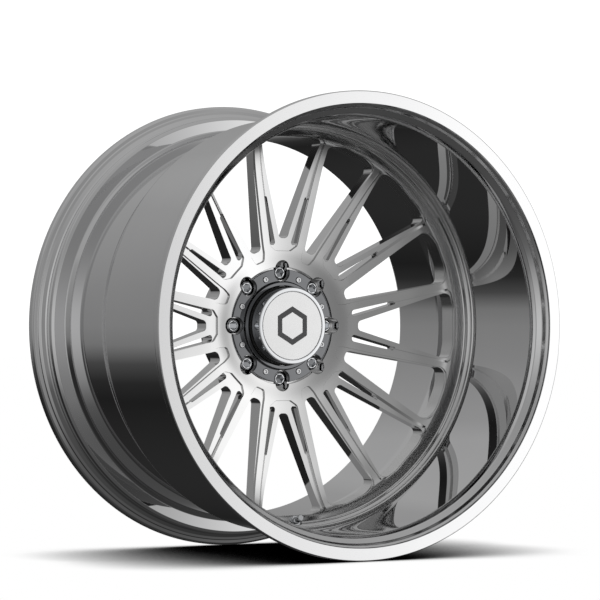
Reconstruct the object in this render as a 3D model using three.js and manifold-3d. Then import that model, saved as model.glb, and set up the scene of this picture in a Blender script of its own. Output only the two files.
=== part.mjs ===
// A 26 x 16 inch forged wheel: barrel, split-spoke centre, clamped centre cap, lug nuts and
// tyre valve. Millimetres, +Z up. The origin is the wheel's middle, the wheel turns about Y,
// and the face with the deep lip looks towards -Y. A depth is measured inboard from the
// plane of the front lip.
import * as THREE from 'three';
import { mergeVertices } from 'three/addons/utils/BufferGeometryUtils.js';
import Module from 'manifold-3d';

const wasm = await Module();
wasm.setup();

// ---- driving dimensions -------------------------------------------------------------
const RIM_RADIUS = 350;
const RIM_WIDTH = 430;
const GAP = 0.3;                    // clearance between touching pieces
const WHEEL_SEGMENTS = 48;          // facets round the barrel and the centre, which nest
const LUG_SEGMENTS = 12;            // facets round a lug nut and its bore, which nest

const SEAT_RADIUS = 332.6;          // bead seats
const LIP_INNER = 330.6;            // inner edge of the flat front lip
const BORE_RADIUS = 312.5;          // polished inside of the deep lip
const FRONT_OUTER = 319.5;          // outside of the barrel behind the front bead seat
const DROP_OUTER = 305;             // outside of the drop centre
const DROP_INNER = 297.5;
const RAMP_FRONT = 228;             // depth where the drop centre's ramp starts
const RAMP_BACK = 266;

const POCKETS = 8;
const POCKET_STEP = (2 * Math.PI) / POCKETS;
const WINDOW_RADIUS = 294;          // outer end of the windows
const STEP_DEPTH = 3;               // the lower ribs and ledges lie this far below the face
const GROOVE_DEPTH = 8;
const HUB_FACE = 250;               // depth of the flat hub face
const HUB_FACE_RADIUS = 97;
const MOUNT_DEPTH = 316;            // depth of the face that meets the vehicle's hub
const MOUNT_RADIUS = 110;
const CENTRE_BORE = 62.5;
const SPOKE_BACK_HUB = 279;         // depth of the spokes' back near the hub
const SPOKE_BACK_RIM = 247;

const LUGS = 8;
const LUG_CIRCLE = 82.55;
const LUG_BORE = 12;
const LOBE_CIRCLE = 89.5;           // each lug bore widens outwards to this circle
const LOBE_DEPTH = 273;
const STUD_BORE = 7.8;
const LUG_SEAT_DEPTH = 296;         // where the conical seat starts
const LUG_SEAT_LENGTH = 5;
const RECESS_RADIUS = 91;
const RECESS_DEPTH = 257.5;
const SCREW_CIRCLE = 77;
const SCREW_RADIUS = 2.4;
const SCREW_HEAD_RADIUS = 4.3;
const SCREW_HOLE_END = 272;
const RELIEF_FLOOR = 288;           // floor of the pockets in the mounting face
const RING_OUTER = 88.5;
const RING_INNER = 62;
const RING_FACE = 251.5;
const RING_COLLAR_FACE = 246.5;
const RING_COLLAR_RADIUS = 69;
const FLANGE_THICKNESS = 3;

const CAP_RADIUS = 59.5;
const CAP_FACE = 219;
const CAP_BACK = 266;
const CAP_WALL = 3;
const CAP_STEP = 2.6;               // the neck behind the cap's head is this much slimmer
const BADGE_THICKNESS = 1.2;
const BADGE_RADIUS = 53;
const BADGE_RECESS = 1.6;
const EMBLEM_RADIUS = 30;
const EMBLEM_BAR = 9;

const VALVE_RADIUS = 302;           // seat of the valve nut, from the wheel's axis
const VALVE_OFFSET = -6;
const VALVE_DEPTH = 204;
const VALVE_TILT = (20 * Math.PI) / 180;
const VALVE_HOLE = 5.65;
const VALVE_INNER_SEAT = 26;        // length of the valve hole between its two flat seats

// ---- helpers ------------------------------------------------------------------------
const atDepth = (depth) => depth - RIM_WIDTH / 2;

function solid(geometry) {
  const bare = geometry.clone();
  bare.deleteAttribute('normal');
  bare.deleteAttribute('uv');
  const merged = mergeVertices(bare, 1e-4);
  const index = merged.index.array;
  const corners = [];
  for (let i = 0; i < index.length; i += 3) {
    const [a, b, c] = [index[i], index[i + 1], index[i + 2]];
    if (a !== b && b !== c && c !== a) {
      corners.push(a, b, c);
    }
  }
  const mesh = { numProp: 3, vertProperties: new Float32Array(merged.attributes.position.array) };
  return new wasm.Manifold(new wasm.Mesh({ ...mesh, triVerts: new Uint32Array(corners) }));
}

function placed(geometry, matrix) {
  return solid(geometry.clone().applyMatrix4(matrix));
}

function geometryOf(manifold) {
  const mesh = manifold.getMesh();
  const geometry = new THREE.BufferGeometry();
  const positions = [];
  for (let i = 0; i < mesh.vertProperties.length; i += mesh.numProp) {
    positions.push(...mesh.vertProperties.slice(i, i + 3));
  }
  geometry.setAttribute('position', new THREE.Float32BufferAttribute(positions, 3));
  geometry.setIndex([...mesh.triVerts]);
  return geometry;
}

// A closed ring or disc turned about Y from [radius, depth] points, listed so that the
// section runs anticlockwise with the radius to the right and the depth upwards.
function turned(points, segments) {
  const profile = points.map(([radius, depth]) => new THREE.Vector2(radius, atDepth(depth)));
  const onAxis = points[0][0] === 0;
  if (!onAxis) {
    profile.push(profile[0].clone());
  }
  return new THREE.LatheGeometry(profile, segments);
}

// A prism along Y between two depths, from a shape drawn in the X-Z plane.
function prism(shape, fromDepth, toDepth, curveSegments = 6) {
  const depth = toDepth - fromDepth;
  const geometry = new THREE.ExtrudeGeometry(shape, { depth, bevelEnabled: false, curveSegments });
  geometry.rotateX(Math.PI / 2);
  return geometry.translate(0, atDepth(toDepth), 0);
}

function circle(radius, x = 0, z = 0) {
  return new THREE.Shape().absarc(x, z, radius, 0, 2 * Math.PI, false);
}

function polygon(radius, sides, turn = 0) {
  const corners = [];
  for (let i = 0; i < sides; i += 1) {
    const angle = turn + (i * 2 * Math.PI) / sides;
    corners.push(new THREE.Vector2(radius * Math.cos(angle), radius * Math.sin(angle)));
  }
  return new THREE.Shape(corners);
}

// A closed outline whose corners [x, z, fillet radius] are rounded by short arcs.
function roundedOutline(corners, steps) {
  const points = [];
  corners.forEach(([x, z, radius], i) => {
    const here = new THREE.Vector2(x, z);
    const before = corners[(i + corners.length - 1) % corners.length];
    const after = corners[(i + 1) % corners.length];
    const toBefore = new THREE.Vector2(before[0], before[1]).sub(here).normalize();
    const toAfter = new THREE.Vector2(after[0], after[1]).sub(here).normalize();
    const half = Math.acos(toBefore.dot(toAfter)) / 2;
    const start = here.clone().addScaledVector(toBefore, radius / Math.tan(half));
    const end = here.clone().addScaledVector(toAfter, radius / Math.tan(half));
    const middle = toBefore.clone().add(toAfter).normalize();
    const centre = here.clone().addScaledVector(middle, radius / Math.sin(half));
    const from = start.clone().sub(centre).angle();
    let sweep = end.clone().sub(centre).angle() - from;
    sweep -= 2 * Math.PI * Math.round(sweep / (2 * Math.PI));
    for (let k = 0; k <= steps; k += 1) {
      const angle = from + (sweep * k) / steps;
      const offset = new THREE.Vector2(Math.cos(angle), Math.sin(angle));
      points.push(centre.clone().addScaledVector(offset, radius));
    }
  });
  return new THREE.Shape(points);
}

const aboutAxis = (angle) => new THREE.Matrix4().makeRotationY(angle);

function union(solids) {
  return solids.reduce((whole, next) => whole.add(next));
}

function finish(name, geometry, colour, roughness, metalness) {
  const material = new THREE.MeshStandardMaterial({ color: colour, roughness, metalness });
  const mesh = new THREE.Mesh(geometry, material);
  mesh.name = name;
  return mesh;
}

const polished = (name, geometry) => finish(name, geometry, 0xc9cacb, 0.06, 1);
const chromed = (name, geometry) => finish(name, geometry, 0xb9babb, 0.04, 1);
const rubber = (name, geometry) => finish(name, geometry, 0x161616, 0.7, 0);
const brass = (name, geometry) => finish(name, geometry, 0xb08d4a, 0.3, 1);

// ---- valve axis ---------------------------------------------------------------------
// Local +Y runs from the cap end into the tyre cavity, and local zero is the nut's seat.
const valveFrame = new THREE.Matrix4();
valveFrame.makeTranslation(VALVE_OFFSET, atDepth(VALVE_DEPTH), -VALVE_RADIUS);
valveFrame.multiply(new THREE.Matrix4().makeRotationX(-VALVE_TILT));

function valveTurned(points, segments) {
  const profile = points.map(([radius, y]) => new THREE.Vector2(radius, y));
  if (points[0][0] !== 0) {
    profile.push(profile[0].clone());
  }
  return new THREE.LatheGeometry(profile, segments);
}

// The valve's hole, and the two flat seats milled square to it.
function valveCuts() {
  const reach = 60;
  const seat = VALVE_INNER_SEAT;
  const hole = valveTurned([[0, -reach], [VALVE_HOLE, -reach], [VALVE_HOLE, reach], [0, reach]], 16);
  const face = valveTurned([[0, -reach], [9.9, -reach], [9.9, 0], [0, 0]], 16);
  const back = valveTurned([[0, seat], [10, seat], [10, reach], [0, reach]], 16);
  return union([hole, face, back].map((cut) => placed(cut, valveFrame)));
}

// ---- barrel -------------------------------------------------------------------------
// Its section as [radius, depth] points: the tyre's side from the front flange to the rear
// one, then the inside from the rear back to the lip.
function rimBarrel() {
  const outside = [
    [LIP_INNER, 0], [348.8, 0], [RIM_RADIUS, 1.2], [RIM_RADIUS, 10], [348, 12.6],
    [338, 14.2], [SEAT_RADIUS, 21], [331, 43], [332.4, 47], [330.6, 51],
    [FRONT_OUTER, 62], [FRONT_OUTER, RAMP_FRONT], [DROP_OUTER, RAMP_BACK],
    [DROP_OUTER, 376], [310, 382.6], [327, 385.6], [332, 390], [333, 406], [338, 411.4],
    [347.6, 416.4], [RIM_RADIUS, 420], [348.8, RIM_WIDTH],
  ];
  const inside = [
    [328.5, RIM_WIDTH], [326, 427], [324.6, 402], [318, 393], [303, 389.6],
    [DROP_INNER, 379], [DROP_INNER, RAMP_BACK + 3], [BORE_RADIUS, RAMP_FRONT + 3.5],
    [BORE_RADIUS, 25], [317, 17.6], [325, 12], [326.6, 6],
  ];
  const barrel = solid(turned([...outside, ...inside], WHEEL_SEGMENTS));
  return geometryOf(barrel.subtract(valveCuts()));
}

// ---- wheel centre -------------------------------------------------------------------
// The dished face, as [radius, depth] points from the hub outwards.
const DISH = [
  [HUB_FACE_RADIUS, HUB_FACE], [150, 243.7], [225, 233.6], [268, 225.8], [286, 219.4],
  [WINDOW_RADIUS, 212.4], [300.5, 200],
];

// Beads and grooves where the outer ring meets the inside of the lip.
const RING_STEPS = [
  [302.6, 194.8], [306.2, 190.6], [309.4, 184.6], [BORE_RADIUS - GAP, 179.6],
];

function centreBody() {
  const outer = BORE_RADIUS - GAP;
  return solid(turned([
    [CENTRE_BORE, HUB_FACE], ...DISH, ...RING_STEPS, [outer, RAMP_FRONT + 2.4],
    [306, SPOKE_BACK_RIM], [WINDOW_RADIUS - 1, SPOKE_BACK_RIM],
    [130, SPOKE_BACK_HUB], [118, 283], [MOUNT_RADIUS + 2, 292], [MOUNT_RADIUS, MOUNT_DEPTH],
    [CENTRE_BORE, MOUNT_DEPTH],
  ], WHEEL_SEGMENTS));
}

// Everything in front of the face moved inboard by some depth: what a pocket may remove.
function aboveFace(extraDepth) {
  const face = DISH.map(([radius, depth]) => [radius, depth + extraDepth]);
  const inner = 70;
  const outer = 302;
  const clear = 150;
  return solid(turned([
    [inner, clear], [outer, clear], ...face.reverse(), [inner, HUB_FACE + extraDepth],
  ], WHEEL_SEGMENTS));
}

// Half-widths of the ribs at a distance z from the axis, along a pocket's middle line.
const ribOuter = (z) => 35.3 + 0.196 * (z - 120);
const ribInner = (z) => 24.4 + 0.222 * (z - 128);
const lowRibOuter = (z) => 13.2 + 0.304 * (z - 128);
const lowRibInner = (z) => 15.5 + 0.3 * (z - 160);
const mirrored = (half) => [...half, ...half.map(([x, z, r]) => [-x, z, r]).reverse()];

// Corner of a window where a rib's edge meets the outer ring.
const ringCorner = (edge, z, radius) => [edge(z), z, radius];

const POCKET_OUTLINE = roundedOutline(mirrored([
  [13, 116.4, 3], [24.2, 124, 8], ringCorner(ribInner, 287, 9), [30, 292.4, 60],
]), 2);
const WIDE_WINDOW = roundedOutline(mirrored([
  [6.8, 136.4, 6.4], ringCorner(lowRibInner, 287, 8), [28, 292.6, 60],
]), 2);

function slotOutline(side) {
  const corners = [
    [lowRibOuter(128), 125.4, 4.2], [ribInner(128), 125.4, 5],
    [ribInner(198), 200, 2.4], [lowRibOuter(198), 200, 2.2],
  ];
  return roundedOutline(corners.map(([x, z, r]) => [x * side, z, r]), 3);
}

function grooveOutline(side) {
  const width = 3.8;
  const corners = [196, 284].flatMap((z) => [[ribInner(z) - width, z], [ribInner(z), z]]);
  const [a, b, c, d] = corners.map(([x, z]) => new THREE.Vector2(x * side, z));
  return new THREE.Shape([a, b, d, c]);
}

// The narrow windows lie between the ribs of neighbouring pockets, so their edges are the
// ribs' outer edges seen along the line halfway between two pockets.
const HALF_STEP = POCKET_STEP / 2;

function narrowEdge(z, inset) {
  const x = ribOuter(z) + inset;
  const along = x * Math.sin(HALF_STEP) + z * Math.cos(HALF_STEP);
  const across = z * Math.sin(HALF_STEP) - x * Math.cos(HALF_STEP);
  return [across, along];
}

const NARROW_LEDGE = roundedOutline(mirrored([
  [7.4, 104.4, 5], [...narrowEdge(112, 0), 6], [...narrowEdge(281, 0), 11], [24, 292.6, 60],
]), 2);
const NARROW_WINDOW = roundedOutline(mirrored([
  [...narrowEdge(116, 4.6), 8.2], [...narrowEdge(279, 1), 10], [22, 292.4, 60],
]), 2);

function repeated(geometry, count, offset = 0) {
  const copies = [];
  for (let i = 0; i < count; i += 1) {
    copies.push(placed(geometry, aboutAxis(offset + (i * 2 * Math.PI) / count)));
  }
  return union(copies);
}

// Depths that the milling cuts run between.
const ABOVE = 190;
const FLOOR_LIMIT = 262;
const BEHIND = 330;

// The recess under the lug ring, the lug bores with their outward lobes and conical seats,
// the tapped screw holes, and the lightening pockets in the mounting face.
function hubCuts() {
  const recess = solid(prism(circle(RECESS_RADIUS), ABOVE, RECESS_DEPTH, 12));
  const bore = prism(circle(LUG_BORE, 0, LUG_CIRCLE), ABOVE, LUG_SEAT_DEPTH, LUG_SEGMENTS / 2);
  const slot = new THREE.Shape()
    .absarc(0, LOBE_CIRCLE, LUG_BORE, 0, Math.PI, false)
    .absarc(0, LUG_CIRCLE, LUG_BORE, Math.PI, 2 * Math.PI, false);
  const seat = turned([
    [0, LUG_SEAT_DEPTH - 1], [LUG_BORE, LUG_SEAT_DEPTH - 1], [LUG_BORE, LUG_SEAT_DEPTH],
    [STUD_BORE, LUG_SEAT_DEPTH + LUG_SEAT_LENGTH], [STUD_BORE, BEHIND], [0, BEHIND],
  ], LUG_SEGMENTS).translate(0, 0, LUG_CIRCLE);
  const tapped = prism(circle(SCREW_RADIUS + GAP, 0, SCREW_CIRCLE), 240, SCREW_HOLE_END, 4);
  const relief = roundedOutline(mirrored([[9, 72, 4], [17, 101, 6]]), 1);
  return union([
    recess,
    repeated(prism(slot, ABOVE, LOBE_DEPTH, 4), LUGS),
    repeated(bore, LUGS),
    repeated(seat, LUGS),
    repeated(tapped, LUGS, HALF_STEP),
    repeated(prism(relief, RELIEF_FLOOR, BEHIND), LUGS, HALF_STEP),
  ]);
}

function wheelCentre() {
  const through = union([
    repeated(prism(WIDE_WINDOW, ABOVE, BEHIND), POCKETS),
    repeated(prism(NARROW_WINDOW, ABOVE, BEHIND), POCKETS, HALF_STEP),
    repeated(prism(slotOutline(1), ABOVE, BEHIND), POCKETS),
    repeated(prism(slotOutline(-1), ABOVE, BEHIND), POCKETS),
  ]);
  const shallow = union([
    repeated(prism(POCKET_OUTLINE, ABOVE, FLOOR_LIMIT), POCKETS),
    repeated(prism(NARROW_LEDGE, ABOVE, FLOOR_LIMIT), POCKETS, HALF_STEP),
  ]).intersect(aboveFace(STEP_DEPTH));
  const grooves = union([1, -1].map((side) => {
    return repeated(prism(grooveOutline(side), ABOVE, FLOOR_LIMIT), POCKETS);
  }));
  return centreBody()
    .subtract(through)
    .subtract(shallow)
    .subtract(grooves.intersect(aboveFace(GROOVE_DEPTH)))
    .subtract(hubCuts())
    .subtract(valveCuts());
}

// ---- centre cap ---------------------------------------------------------------------
const HEAD_SINK = 2;                // the screw heads sit this far below the ring's face

// The scalloped ring that clamps the cap's flange to the hub, notched round the lug nuts.
function lugRing() {
  const plate = solid(turned([
    [RING_INNER, RING_COLLAR_FACE + 1.5], [RING_INNER + 1.5, RING_COLLAR_FACE],
    [RING_COLLAR_RADIUS - 2, RING_COLLAR_FACE], [RING_COLLAR_RADIUS, RING_FACE],
    [RING_OUTER - 1.5, RING_FACE], [RING_OUTER, RING_FACE + 1.5],
    [RING_OUTER, RECESS_DEPTH - GAP], [CAP_RADIUS + 7, RECESS_DEPTH - GAP],
    [CAP_RADIUS + 7, RECESS_DEPTH - FLANGE_THICKNESS - 2 * GAP],
    [RING_INNER, RECESS_DEPTH - FLANGE_THICKNESS - 2 * GAP],
  ], 48));
  const scallop = prism(circle(LUG_BORE + 1.4, 0, LUG_CIRCLE), ABOVE, BEHIND, 6);
  const hole = prism(circle(SCREW_RADIUS + GAP, 0, SCREW_CIRCLE), ABOVE, BEHIND, 4);
  const sink = prism(circle(SCREW_HEAD_RADIUS + GAP, 0, SCREW_CIRCLE), ABOVE, RING_FACE + HEAD_SINK, 5);
  const drilled = plate
    .subtract(repeated(scallop, LUGS))
    .subtract(repeated(hole, LUGS, HALF_STEP))
    .subtract(repeated(sink, LUGS, HALF_STEP));
  return geometryOf(drilled);
}

// A deep cup, open behind, with a flange that the lug ring holds.
function capBody() {
  const back = RECESS_DEPTH - GAP;
  const flangeFront = back - FLANGE_THICKNESS;
  const neck = CAP_RADIUS - CAP_STEP;
  return turned([
    [0, CAP_FACE + BADGE_RECESS], [BADGE_RADIUS, CAP_FACE + BADGE_RECESS],
    [BADGE_RADIUS, CAP_FACE + 0.6], [BADGE_RADIUS + 0.8, CAP_FACE], [CAP_RADIUS - 1.4, CAP_FACE],
    [CAP_RADIUS, CAP_FACE + 1.4], [CAP_RADIUS, 242], [neck, 242.8],
    [neck, flangeFront], [CAP_RADIUS + 6, flangeFront], [CAP_RADIUS + 6, back],
    [CENTRE_BORE - 1.2, back], [CENTRE_BORE - 1.2, CAP_BACK], [neck - CAP_WALL, CAP_BACK],
    [neck - CAP_WALL, CAP_FACE + 6], [BADGE_RADIUS - 3, CAP_FACE + 4.6],
    [0, CAP_FACE + 4.6],
  ], 48);
}

function capSeal() {
  const inner = CAP_RADIUS - CAP_STEP + GAP;
  const outer = RING_INNER - GAP;
  const front = 243.4;
  const back = 253.6;
  return turned([
    [inner, front], [outer - 0.8, front], [outer, front + 1], [outer, back], [inner, back],
  ], 40);
}

function capBadge() {
  const top = CAP_FACE + BADGE_RECESS - BADGE_THICKNESS;
  const back = CAP_FACE + BADGE_RECESS - GAP / 2;
  const plate = solid(turned([
    [0, top], [BADGE_RADIUS - GAP, top], [BADGE_RADIUS - GAP, back], [0, back],
  ], 48));
  const seat = solid(prism(emblemShape(GAP / 2), top - 1, top + 0.5));
  return geometryOf(plate.subtract(seat));
}

function emblemShape(grow) {
  const shape = polygon(EMBLEM_RADIUS + grow, 6, Math.PI / 6);
  shape.holes.push(polygon(EMBLEM_RADIUS - EMBLEM_BAR - grow, 6, Math.PI / 6));
  return shape;
}

// A flat-headed screw with a hexagon socket.
function ringScrew() {
  const headTop = RING_FACE - 1.4;
  const headBack = RING_FACE + HEAD_SINK - GAP / 2;
  const body = turned([
    [0, headTop], [SCREW_HEAD_RADIUS - 0.6, headTop], [SCREW_HEAD_RADIUS, headTop + 0.6],
    [SCREW_HEAD_RADIUS, headBack], [SCREW_RADIUS, headBack], [SCREW_RADIUS, 270], [0, 270],
  ], 14);
  const socket = solid(prism(polygon(2.3, 6), headTop - 1, headTop + 2));
  return geometryOf(solid(body).subtract(socket));
}

// A closed-end nut with a hexagon socket in its head, a slim shank and a conical seat.
function lugNut() {
  const head = 11.2;
  const shank = 9.6;
  const top = 259;
  const seat = LUG_SEAT_DEPTH - 2 * GAP;
  const seatEnd = seat + LUG_SEAT_LENGTH - 0.7;
  const body = turned([
    [0, top], [8.4, top], [head, top + 2.6], [head, 270], [shank, 271.6], [shank, 290],
    [head, 291.4], [head, seat], [STUD_BORE, seatEnd], [0, seatEnd],
  ], LUG_SEGMENTS);
  const socket = solid(prism(polygon(6.6, 6), top - 1, top + 12));
  const thread = solid(prism(circle(6.3), 275, 310, 6));
  return geometryOf(solid(body).subtract(socket).subtract(thread));
}

// ---- valve --------------------------------------------------------------------------
const STEM_RADIUS = 5.2;
const STEM_TIP_RADIUS = 3.8;
const STEM_TIP = -19;               // outer end of the stem
const CORE_RADIUS = 2.3;

function valveParts() {
  const seat = VALVE_INNER_SEAT;
  const stem = valveTurned([
    [1.5, seat - 3], [2.9, seat - 8], [2.9, -7], [CORE_RADIUS + GAP, -8],
    [CORE_RADIUS + GAP, STEM_TIP], [STEM_TIP_RADIUS - 0.4, STEM_TIP], [STEM_TIP_RADIUS, STEM_TIP + 0.5],
    [STEM_TIP_RADIUS, -10], [STEM_RADIUS, -9], [STEM_RADIUS, seat + 2.4], [9, seat + 2.4],
    [9, seat + 5], [8, seat + 6], [1.5, seat + 6],
  ], 16);
  const grommet = valveTurned([
    [STEM_RADIUS + GAP, seat + GAP], [8.6, seat + GAP], [8.9, seat + 1], [8.9, seat + 2.1],
    [STEM_RADIUS + GAP, seat + 2.1],
  ], 16);
  const washer = valveTurned([
    [VALVE_HOLE, -1.7], [9.1, -1.7], [9.1, -GAP], [VALVE_HOLE, -GAP],
  ], 16);
  const nut = new THREE.ExtrudeGeometry(polygon(9.2, 6), { depth: 5, bevelEnabled: false });
  const nutBody = solid(nut.rotateX(Math.PI / 2).translate(0, -2, 0));
  const nutBore = valveTurned([[0, -20], [STEM_RADIUS + GAP, -20], [STEM_RADIUS + GAP, 5], [0, 5]], 16);
  const core = valveTurned([
    [0.9, STEM_TIP + 0.4], [CORE_RADIUS, STEM_TIP + 0.4], [CORE_RADIUS, -8.6], [1.9, -7.4],
    [1.9, -2], [1.5, -2], [1.5, -8.6], [0.9, -8.6],
  ], 16);
  const pin = valveTurned([
    [0, STEM_TIP - 0.4], [0.6, STEM_TIP - 0.4], [0.6, -1.4], [1.8, -1.4], [1.8, -0.2], [0, -0.2],
  ], 8);
  const cap = valveTurned([
    [0, STEM_TIP - 3.4], [4.2, STEM_TIP - 3.4], [5, STEM_TIP - 2.6], [5, -10.8],
    [STEM_TIP_RADIUS + GAP, -10.8], [STEM_TIP_RADIUS + GAP, STEM_TIP - 2], [0, STEM_TIP - 2],
  ], 16);
  const capSealDisc = valveTurned([
    [1.2, STEM_TIP - 1.7], [STEM_TIP_RADIUS, STEM_TIP - 1.7], [STEM_TIP_RADIUS, STEM_TIP - 0.8],
    [1.2, STEM_TIP - 0.8],
  ], 16);
  return [
    chromed('valve_stem', stem),
    rubber('valve_grommet', grommet),
    chromed('valve_washer', washer),
    chromed('valve_nut', geometryOf(nutBody.subtract(solid(nutBore)))),
    brass('valve_core', core),
    brass('valve_pin', pin),
    chromed('valve_spring', valveSpring()),
    chromed('valve_cap', cap),
    rubber('valve_cap_seal', capSealDisc),
  ];
}

class Coil extends THREE.Curve {
  getPoint(t, target = new THREE.Vector3()) {
    const turns = 4.5;
    const angle = 2 * Math.PI * turns * t;
    return target.set(1.1 * Math.cos(angle), -7.6 + 5.2 * t, 1.1 * Math.sin(angle));
  }
}

function valveSpring() {
  const wire = { steps: 45, extrudePath: new Coil() };
  return new THREE.ExtrudeGeometry(polygon(0.16, 4), wire);
}

// ---- assembly -----------------------------------------------------------------------
const wheel = new THREE.Group();
wheel.add(polished('rim_barrel', rimBarrel()));
wheel.add(polished('wheel_centre', geometryOf(wheelCentre())));
wheel.add(chromed('lug_ring', lugRing()));
wheel.add(chromed('cap_body', capBody()));
wheel.add(rubber('cap_seal', capSeal()));
wheel.add(finish('cap_badge', capBadge(), 0xe6e6e6, 0.3, 0.6));
const badgeFace = CAP_FACE + BADGE_RECESS - BADGE_THICKNESS;
const inlay = prism(emblemShape(0), badgeFace, badgeFace + 0.3);
wheel.add(finish('cap_emblem', inlay, 0x373737, 0.5, 0));

const screwGeometry = ringScrew();
const nutGeometry = lugNut();
for (let i = 0; i < LUGS; i += 1) {
  const nutAngle = i * POCKET_STEP;
  const nut = chromed(`lug_nut_${i + 1}`, nutGeometry);
  nut.position.set(LUG_CIRCLE * Math.sin(nutAngle), 0, LUG_CIRCLE * Math.cos(nutAngle));
  nut.rotation.y = nutAngle;
  wheel.add(nut);
  const screwAngle = nutAngle + HALF_STEP;
  const screw = chromed(`ring_screw_${i + 1}`, screwGeometry);
  screw.position.set(SCREW_CIRCLE * Math.sin(screwAngle), 0, SCREW_CIRCLE * Math.cos(screwAngle));
  screw.rotation.y = screwAngle;
  wheel.add(screw);
}

const valve = new THREE.Group();
valve.applyMatrix4(valveFrame);
valve.add(...valveParts());
wheel.add(valve);

export default wheel;
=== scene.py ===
# A forged eight-lug truck wheel: a wide polished barrel with a deep stepped lip, a dished
# centre of paired slim spokes, and a chromed cap, lug nuts and tyre valve.
# Metres. The wheel turns about Y, its deep lip looks towards -Y, and Z is up. A depth is
# measured inboard from the plane of the front lip, in millimetres.
import math

import bmesh
import bpy
import numpy as np
from mathutils import Matrix, Vector


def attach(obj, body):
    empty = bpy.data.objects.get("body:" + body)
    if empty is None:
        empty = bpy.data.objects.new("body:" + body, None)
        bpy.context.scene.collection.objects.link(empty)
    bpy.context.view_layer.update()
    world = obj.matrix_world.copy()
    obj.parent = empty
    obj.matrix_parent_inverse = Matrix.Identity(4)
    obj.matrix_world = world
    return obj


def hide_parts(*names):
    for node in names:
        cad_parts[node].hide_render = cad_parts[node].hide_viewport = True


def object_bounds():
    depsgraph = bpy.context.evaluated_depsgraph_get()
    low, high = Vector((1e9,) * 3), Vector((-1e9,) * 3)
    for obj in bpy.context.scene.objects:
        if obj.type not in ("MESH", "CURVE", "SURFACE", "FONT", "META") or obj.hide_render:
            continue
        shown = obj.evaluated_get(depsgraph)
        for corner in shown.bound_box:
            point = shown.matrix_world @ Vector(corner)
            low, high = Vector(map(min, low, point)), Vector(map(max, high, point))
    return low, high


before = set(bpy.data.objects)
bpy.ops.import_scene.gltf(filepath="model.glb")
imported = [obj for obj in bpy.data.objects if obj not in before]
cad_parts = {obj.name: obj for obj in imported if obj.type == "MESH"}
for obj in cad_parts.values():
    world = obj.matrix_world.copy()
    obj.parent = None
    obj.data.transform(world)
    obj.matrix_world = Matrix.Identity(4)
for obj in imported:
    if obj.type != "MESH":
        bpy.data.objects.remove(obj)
cad_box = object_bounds()
scene = bpy.context.scene

# ---- sizes of the wheel, in millimetres -----------------------------------------------
MM = 0.001
HALF_WIDTH = 215
POCKETS = 8
STEP = 2 * math.pi / POCKETS
HALF_STEP = STEP / 2
FLOOR_STEP = 3          # the lower ribs and ledges lie this far below the face
GROOVE_DEPTH = 8
GROOVE_WIDTH = 3.8
LUG_CIRCLE = 82.55
LUG_BORE = 12
LOBE_CIRCLE = 89.5      # each lug bore widens outwards to this circle
SCREW_CIRCLE = 77
HUB_BORE = 62.5
HUB_PAD = 316           # the mounting face's depth
HUB_RING_SEAT = 251.3   # where the lug ring's recess and the dished face begin
IN_FRONT = 170          # cutters start at this depth, clear of the face
BEHIND = 332            # and end at this one, clear of the hub's back
SHARP = math.radians(30)    # edges that bend more than this stay crisp
VALVE_ORIGIN = (-6, 204 - HALF_WIDTH, -302)
VALVE_TILT = math.radians(20)
STEM_TIP = -19          # along the valve's own axis, outwards from its outer seat
INNER_SEAT = 26         # length of the valve hole between its two flat seats


# ---- small helpers ----------------------------------------------------------------------
def linear(hex_colour):
    """An sRGB hex colour as the linear colour that the shaders take."""
    channels = []
    for start in (1, 3, 5):
        value = int(hex_colour[start:start + 2], 16) / 255
        channels.append(value / 12.92 if value <= 0.04045 else ((value + 0.055) / 1.055) ** 2.4)
    return (*channels, 1.0)


def add(tree, kind, sockets=None, **settings):
    """One node, with its settings, and its inputs as plain values or as links from outputs."""
    node = tree.nodes.new(kind)
    for name, value in settings.items():
        setattr(node, name, value)
    for key, value in (sockets or {}).items():
        if isinstance(value, bpy.types.NodeSocket):
            tree.links.new(value, node.inputs[key])
        else:
            node.inputs[key].default_value = value
    return node


def rounded(corners, steps=6, closed=True):
    """A polyline whose corners (x, y, fillet radius) are rounded by arcs."""
    points = []
    count = len(corners)
    for i, (x, y, radius) in enumerate(corners):
        here = Vector((x, y))
        if radius == 0 or (not closed and i in (0, count - 1)):
            points.append(here)
            continue
        to_before = (Vector(corners[i - 1][:2]) - here).normalized()
        to_after = (Vector(corners[(i + 1) % count][:2]) - here).normalized()
        half = math.acos(max(-1, min(1, to_before.dot(to_after)))) / 2
        if half > math.pi / 2 - 1e-3:
            points.append(here)
            continue
        start = here + to_before * (radius / math.tan(half))
        end = here + to_after * (radius / math.tan(half))
        centre = here + (to_before + to_after).normalized() * (radius / math.sin(half))
        a, b = start - centre, end - centre
        first = math.atan2(a.y, a.x)
        sweep = math.remainder(math.atan2(b.y, b.x) - first, 2 * math.pi)
        for k in range(steps + 1):
            angle = first + sweep * k / steps
            points.append(centre + Vector((math.cos(angle), math.sin(angle))) * radius)
    return points


def facing_out(mesh):
    """Turns a closed mesh right side out if it came inside out."""
    edit = bmesh.new()
    edit.from_mesh(mesh)
    if edit.calc_volume(signed=True) < 0:
        bmesh.ops.reverse_faces(edit, faces=edit.faces)
        edit.to_mesh(mesh)
    edit.free()
    return mesh


def mesh_of(name, points, edges=(), faces=()):
    mesh = bpy.data.meshes.new(name)
    mesh.from_pydata([tuple(p) for p in points], edges, faces)
    mesh.update()
    return mesh


def section(name, outline, mean_radius, closed=True):
    """A turned piece's section, [radius, depth] points, as the wire that a sweep takes."""
    points = [((r - mean_radius) * MM, (HALF_WIDTH - depth) * MM, 0) for r, depth in outline]
    edges = [(i, i + 1) for i in range(len(points) - 1)]
    if closed:
        edges.append((len(points) - 1, 0))
    return mesh_of(name, points, edges)


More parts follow.
